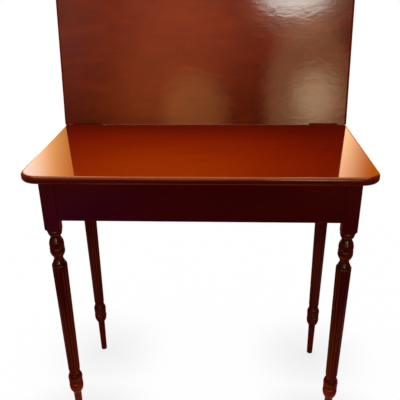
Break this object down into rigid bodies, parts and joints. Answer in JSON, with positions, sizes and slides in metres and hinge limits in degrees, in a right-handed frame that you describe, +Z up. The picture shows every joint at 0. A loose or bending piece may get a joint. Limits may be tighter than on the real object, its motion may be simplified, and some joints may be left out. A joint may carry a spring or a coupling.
{
  "type": "fold-over card table",
  "caption": "Fold-over card table: hinged rectangular leaves that swivel over an apron frame with a storage well, on slender turned and reeded legs.",
  "frame": {"origin": "on the floor, under the middle of the table's overall box as it stands in the picture", "axes": "+Z up; +X to the right along the hinge line as seen from the front; +Y from the front edge to the hinge and the standing leaf"},
  "size_m": [0.762, 0.452, 1.1274],
  "materials": {
    "leaf_veneer": "red-brown mahogany veneer under high-gloss lacquer",
    "frame_lacquer": "dark red-brown stained wood under gloss lacquer",
    "plain_hardwood": "unfinished secondary hardwood, planed",
    "plywood": "bare thin plywood, sanded",
    "brass": "dull rolled brass",
    "zinc_steel": "zinc-plated steel",
    "nylon": "natural nylon, matt",
    "felt": "dark brown wool felt"
  },
  "bodies": {
    "frame": {"leg_front_left": "frame_lacquer", "leg_front_right": "frame_lacquer", "leg_rear_left": "frame_lacquer", "leg_rear_right": "frame_lacquer", "front_apron": "frame_lacquer", "rear_apron": "frame_lacquer", "left_apron": "frame_lacquer", "right_apron": "frame_lacquer", "corner_brace_front_left": "plain_hardwood", "corner_brace_front_right": "plain_hardwood", "corner_brace_rear_left": "plain_hardwood", "corner_brace_rear_right": "plain_hardwood", "leg_bolt_front_left": "zinc_steel", "leg_bolt_front_right": "zinc_steel", "leg_bolt_rear_left": "zinc_steel", "leg_bolt_rear_right": "zinc_steel", "leg_nut_front_left": "zinc_steel", "leg_nut_front_right": "zinc_steel", "leg_nut_rear_left": "zinc_steel", "leg_nut_rear_right": "zinc_steel", "well_panel": "plywood", "well_ledger_front": "plain_hardwood", "well_ledger_rear": "plain_hardwood", "felt_strip_front": "felt", "felt_strip_rear": "felt", "felt_strip_left": "felt", "felt_strip_right": "felt", "pivot_board": "plain_hardwood", "board_cleat_front": "plain_hardwood", "board_cleat_rear": "plain_hardwood", "slip_ring": "nylon"},
    "lower_top": {"lower_leaf": "leaf_veneer", "hinge_left_lower_plate": "brass", "hinge_left_pin": "brass", "hinge_right_lower_plate": "brass", "hinge_right_pin": "brass", "hinge_screw_left_lower_1": "brass", "hinge_screw_left_lower_2": "brass", "hinge_screw_left_lower_3": "brass", "hinge_screw_right_lower_1": "brass", "hinge_screw_right_lower_2": "brass", "hinge_screw_right_lower_3": "brass", "pivot_flange": "zinc_steel", "flange_screw_1": "zinc_steel", "flange_screw_2": "zinc_steel", "flange_screw_3": "zinc_steel", "flange_screw_4": "zinc_steel", "pivot_washer": "zinc_steel", "pivot_lock_nut": "zinc_steel", "stop_dowel": "plain_hardwood"},
    "upper_top": {"upper_leaf": "leaf_veneer", "hinge_left_upper_plate": "brass", "hinge_right_upper_plate": "brass", "hinge_screw_left_upper_1": "brass", "hinge_screw_left_upper_2": "brass", "hinge_screw_left_upper_3": "brass", "hinge_screw_right_upper_1": "brass", "hinge_screw_right_upper_2": "brass", "hinge_screw_right_upper_3": "brass"}
  },
  "joints": [
    {"name": "top_swivel", "type": "hinge", "parent": "frame", "child": "lower_top", "pos_m": [0.08428, 0.07101, 0.729], "axis": [0, 0, 1], "range_deg": [0, 90]},
    {"name": "leaf_fold", "type": "hinge", "parent": "lower_top", "child": "upper_top", "pos_m": [0, 0.15528, 0.7503], "axis": [-1, 0, 0], "range_deg": [-98, 82]}
  ]
}
